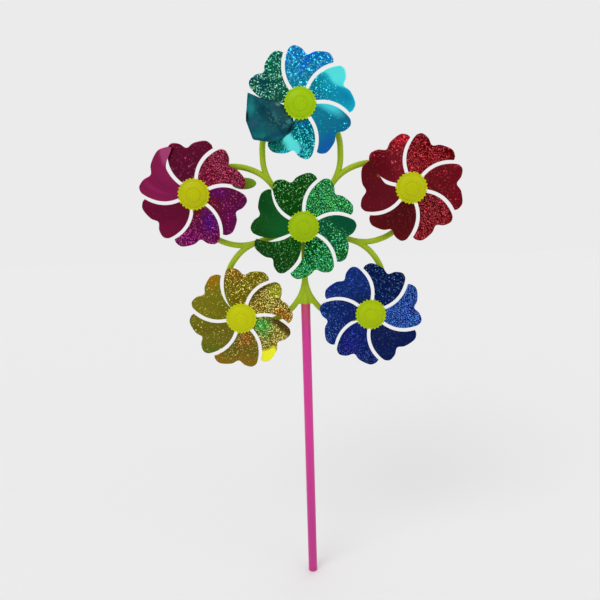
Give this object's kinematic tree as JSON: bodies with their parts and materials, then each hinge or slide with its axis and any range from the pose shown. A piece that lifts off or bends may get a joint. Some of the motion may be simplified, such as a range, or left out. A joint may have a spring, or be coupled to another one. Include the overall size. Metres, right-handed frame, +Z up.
{
  "type": "wind spinner",
  "caption": "Stick-mounted garden wind spinner: holographic film pinwheels turn on pins in a looped flower-shaped plastic frame.",
  "frame": {"origin": "centre of the stick's lower end", "axes": "+Z up along the stick, wheels face -Y, +X to the right seen from the front"},
  "size_m": [0.31, 0.023, 0.5449],
  "materials": {
    "frame": "moulded lime green polyethylene, soft gloss",
    "stick": "translucent pink extruded tube",
    "axle_pins": "moulded green plastic",
    "spacers": "natural white plastic tube",
    "rear_hubs": "moulded yellow-green plastic",
    "flower_caps": "moulded yellow-green plastic, soft gloss",
    "right_film": "mirror-bright red holographic film, metallised plastic sheet",
    "top_film": "mirror-bright cyan holographic film, metallised plastic sheet",
    "left_film": "mirror-bright magenta holographic film, metallised plastic sheet",
    "bottom_left_film": "mirror-bright gold holographic film, metallised plastic sheet",
    "bottom_right_film": "mirror-bright blue holographic film, metallised plastic sheet",
    "centre_film": "mirror-bright green holographic film, metallised plastic sheet"
  },
  "bodies": {
    "stand": {"frame": "frame", "stick": "stick", "right_axle_pin": "axle_pins", "right_spacer": "spacers", "top_axle_pin": "axle_pins", "top_spacer": "spacers", "left_axle_pin": "axle_pins", "left_spacer": "spacers", "bottom_left_axle_pin": "axle_pins", "bottom_left_spacer": "spacers", "bottom_right_axle_pin": "axle_pins", "bottom_right_spacer": "spacers", "centre_axle_pin": "axle_pins", "centre_spacer": "spacers"},
    "right_wheel": {"right_rear_hub": "rear_hubs", "right_film": "right_film", "right_flower_cap": "flower_caps"},
    "top_wheel": {"top_rear_hub": "rear_hubs", "top_film": "top_film", "top_flower_cap": "flower_caps"},
    "left_wheel": {"left_rear_hub": "rear_hubs", "left_film": "left_film", "left_flower_cap": "flower_caps"},
    "bottom_left_wheel": {"bottom_left_rear_hub": "rear_hubs", "bottom_left_film": "bottom_left_film", "bottom_left_flower_cap": "flower_caps"},
    "bottom_right_wheel": {"bottom_right_rear_hub": "rear_hubs", "bottom_right_film": "bottom_right_film", "bottom_right_flower_cap": "flower_caps"},
    "centre_wheel": {"centre_rear_hub": "rear_hubs", "centre_film": "centre_film", "centre_flower_cap": "flower_caps"}
  },
  "joints": [
    {"name": "right_spin", "type": "hinge", "parent": "stand", "child": "right_wheel", "pos_m": [0.10462, 0, 0.41249], "axis": [0, -1, 0], "continuous": true},
    {"name": "top_spin", "type": "hinge", "parent": "stand", "child": "top_wheel", "pos_m": [0, 0, 0.4935], "axis": [0, -1, 0], "continuous": true},
    {"name": "left_spin", "type": "hinge", "parent": "stand", "child": "left_wheel", "pos_m": [-0.10462, 0, 0.41249], "axis": [0, -1, 0], "continuous": true},
    {"name": "bottom_left_spin", "type": "hinge", "parent": "stand", "child": "bottom_left_wheel", "pos_m": [-0.06466, 0, 0.28951], "axis": [0, -1, 0], "continuous": true},
    {"name": "bottom_right_spin", "type": "hinge", "parent": "stand", "child": "bottom_right_wheel", "pos_m": [0.06466, 0, 0.28951], "axis": [0, -1, 0], "continuous": true},
    {"name": "centre_spin", "type": "hinge", "parent": "stand", "child": "centre_wheel", "pos_m": [0, 0, 0.3785], "axis": [0, -1, 0], "continuous": true}
  ]
}
